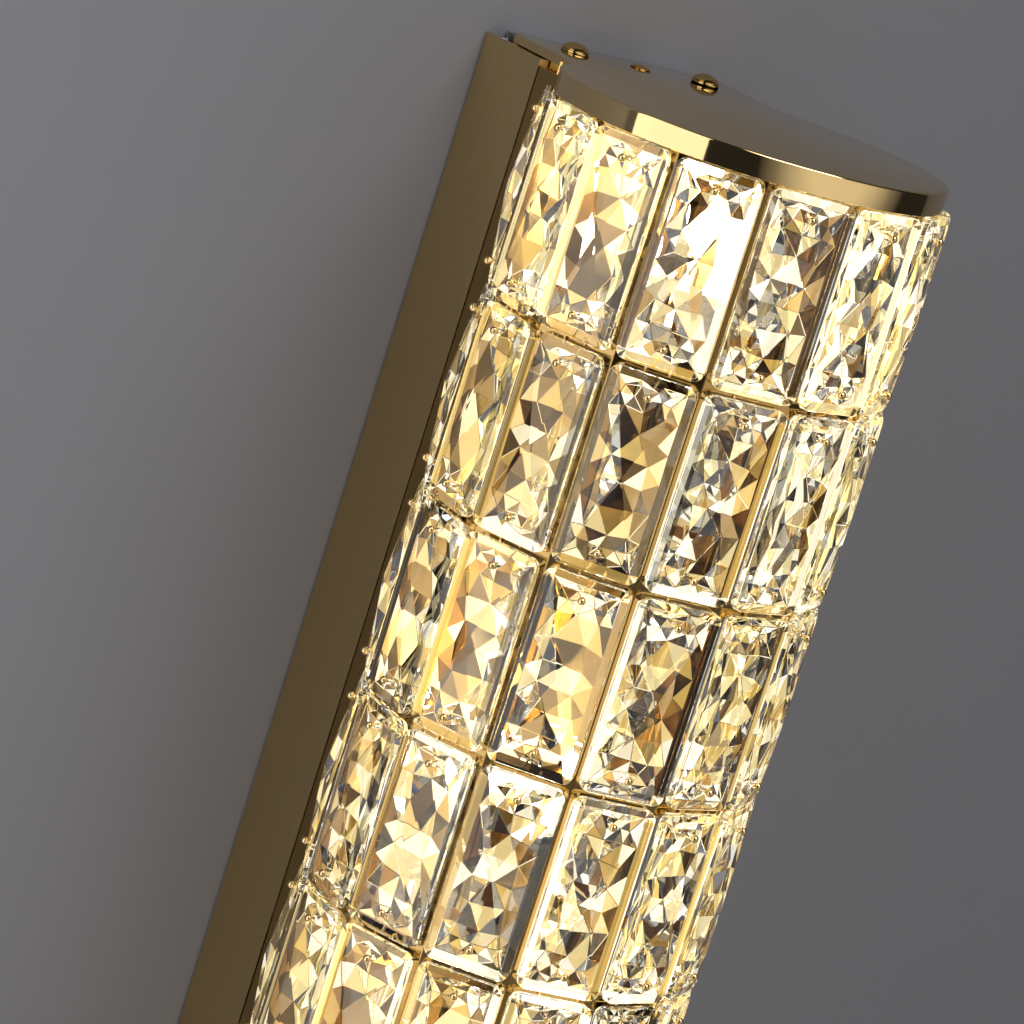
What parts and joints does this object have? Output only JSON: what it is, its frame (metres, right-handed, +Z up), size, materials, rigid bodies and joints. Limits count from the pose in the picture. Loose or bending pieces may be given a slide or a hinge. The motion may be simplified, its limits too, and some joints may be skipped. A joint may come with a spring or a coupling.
{
  "type": "wall sconce",
  "caption": "Round-fronted wall sconce: columns of faceted crystals hooked on a gold lattice between keyhole-shaped cap plates, on a shallow wall box with small lamps inside.",
  "frame": {"origin": "middle of the wall bracket's back face, on the wall, at half the lamp's height", "axes": "+Z up, +Y into the wall, front faces -Y, +X to the right seen from the front"},
  "size_m": [0.1082, 0.1278, 0.3802],
  "materials": {
    "gold_plate": "polished gold plating on stainless sheet",
    "gold_screws": "polished",
    "zinc_steel": "bright zinc",
    "shelf_steel": "satin white enamel",
    "crystal_glass": "cut and polished",
    "bulb_glass": "clear",
    "light_source": "matt",
    "white_ceramic": "glazed",
    "black_rubber": "matt",
    "block_plastic": "moulded",
    "earth_wire_skin": "extruded",
    "live_wire_skin": "extruded",
    "neutral_wire_skin": "extruded"
  },
  "bodies": {
    "root": {"top_cap": "gold_plate", "bottom_cap": "gold_plate", "back_box": "gold_plate", "lattice_panel_01": "gold_plate", "lattice_panel_02": "gold_plate", "lattice_panel_03": "gold_plate", "lattice_panel_04": "gold_plate", "lattice_panel_05": "gold_plate", "lattice_side_left": "gold_plate", "lattice_side_right": "gold_plate", "cap_dome_screws": "gold_screws", "cap_centre_screws": "gold_screws", "crystal_pins": "gold_screws", "lattice_screws": "gold_screws", "cap_nuts": "zinc_steel", "box_nuts": "zinc_steel", "wall_bracket": "zinc_steel", "shelf_screws": "zinc_steel", "holder_screws": "zinc_steel", "terminal_screws": "zinc_steel", "earth_screw": "zinc_steel", "earth_tag": "zinc_steel", "crystal_column_01": "crystal_glass", "crystal_column_02": "crystal_glass", "crystal_column_03": "crystal_glass", "crystal_column_04": "crystal_glass", "crystal_column_05": "crystal_glass", "crystal_column_06": "crystal_glass", "crystal_column_07": "crystal_glass", "crystal_column_08": "crystal_glass", "crystal_column_09": "crystal_glass", "crystal_column_10": "crystal_glass", "lamp_shelf_upper": "shelf_steel", "lamp_holder_upper": "white_ceramic", "bulb_base_upper": "white_ceramic", "bulb_glass_upper": "bulb_glass", "light_column_upper": "light_source", "lamp_shelf_middle": "shelf_steel", "lamp_holder_middle": "white_ceramic", "bulb_base_middle": "white_ceramic", "bulb_glass_middle": "bulb_glass", "light_column_middle": "light_source", "lamp_shelf_lower": "shelf_steel", "lamp_holder_lower": "white_ceramic", "bulb_base_lower": "white_ceramic", "bulb_glass_lower": "bulb_glass", "light_column_lower": "light_source", "wire_grommets": "black_rubber", "inlet_grommet": "black_rubber", "terminal_block": "block_plastic", "earth_wire": "earth_wire_skin", "live_wires": "live_wire_skin", "neutral_wires": "neutral_wire_skin"}
  },
  "joints": []
}
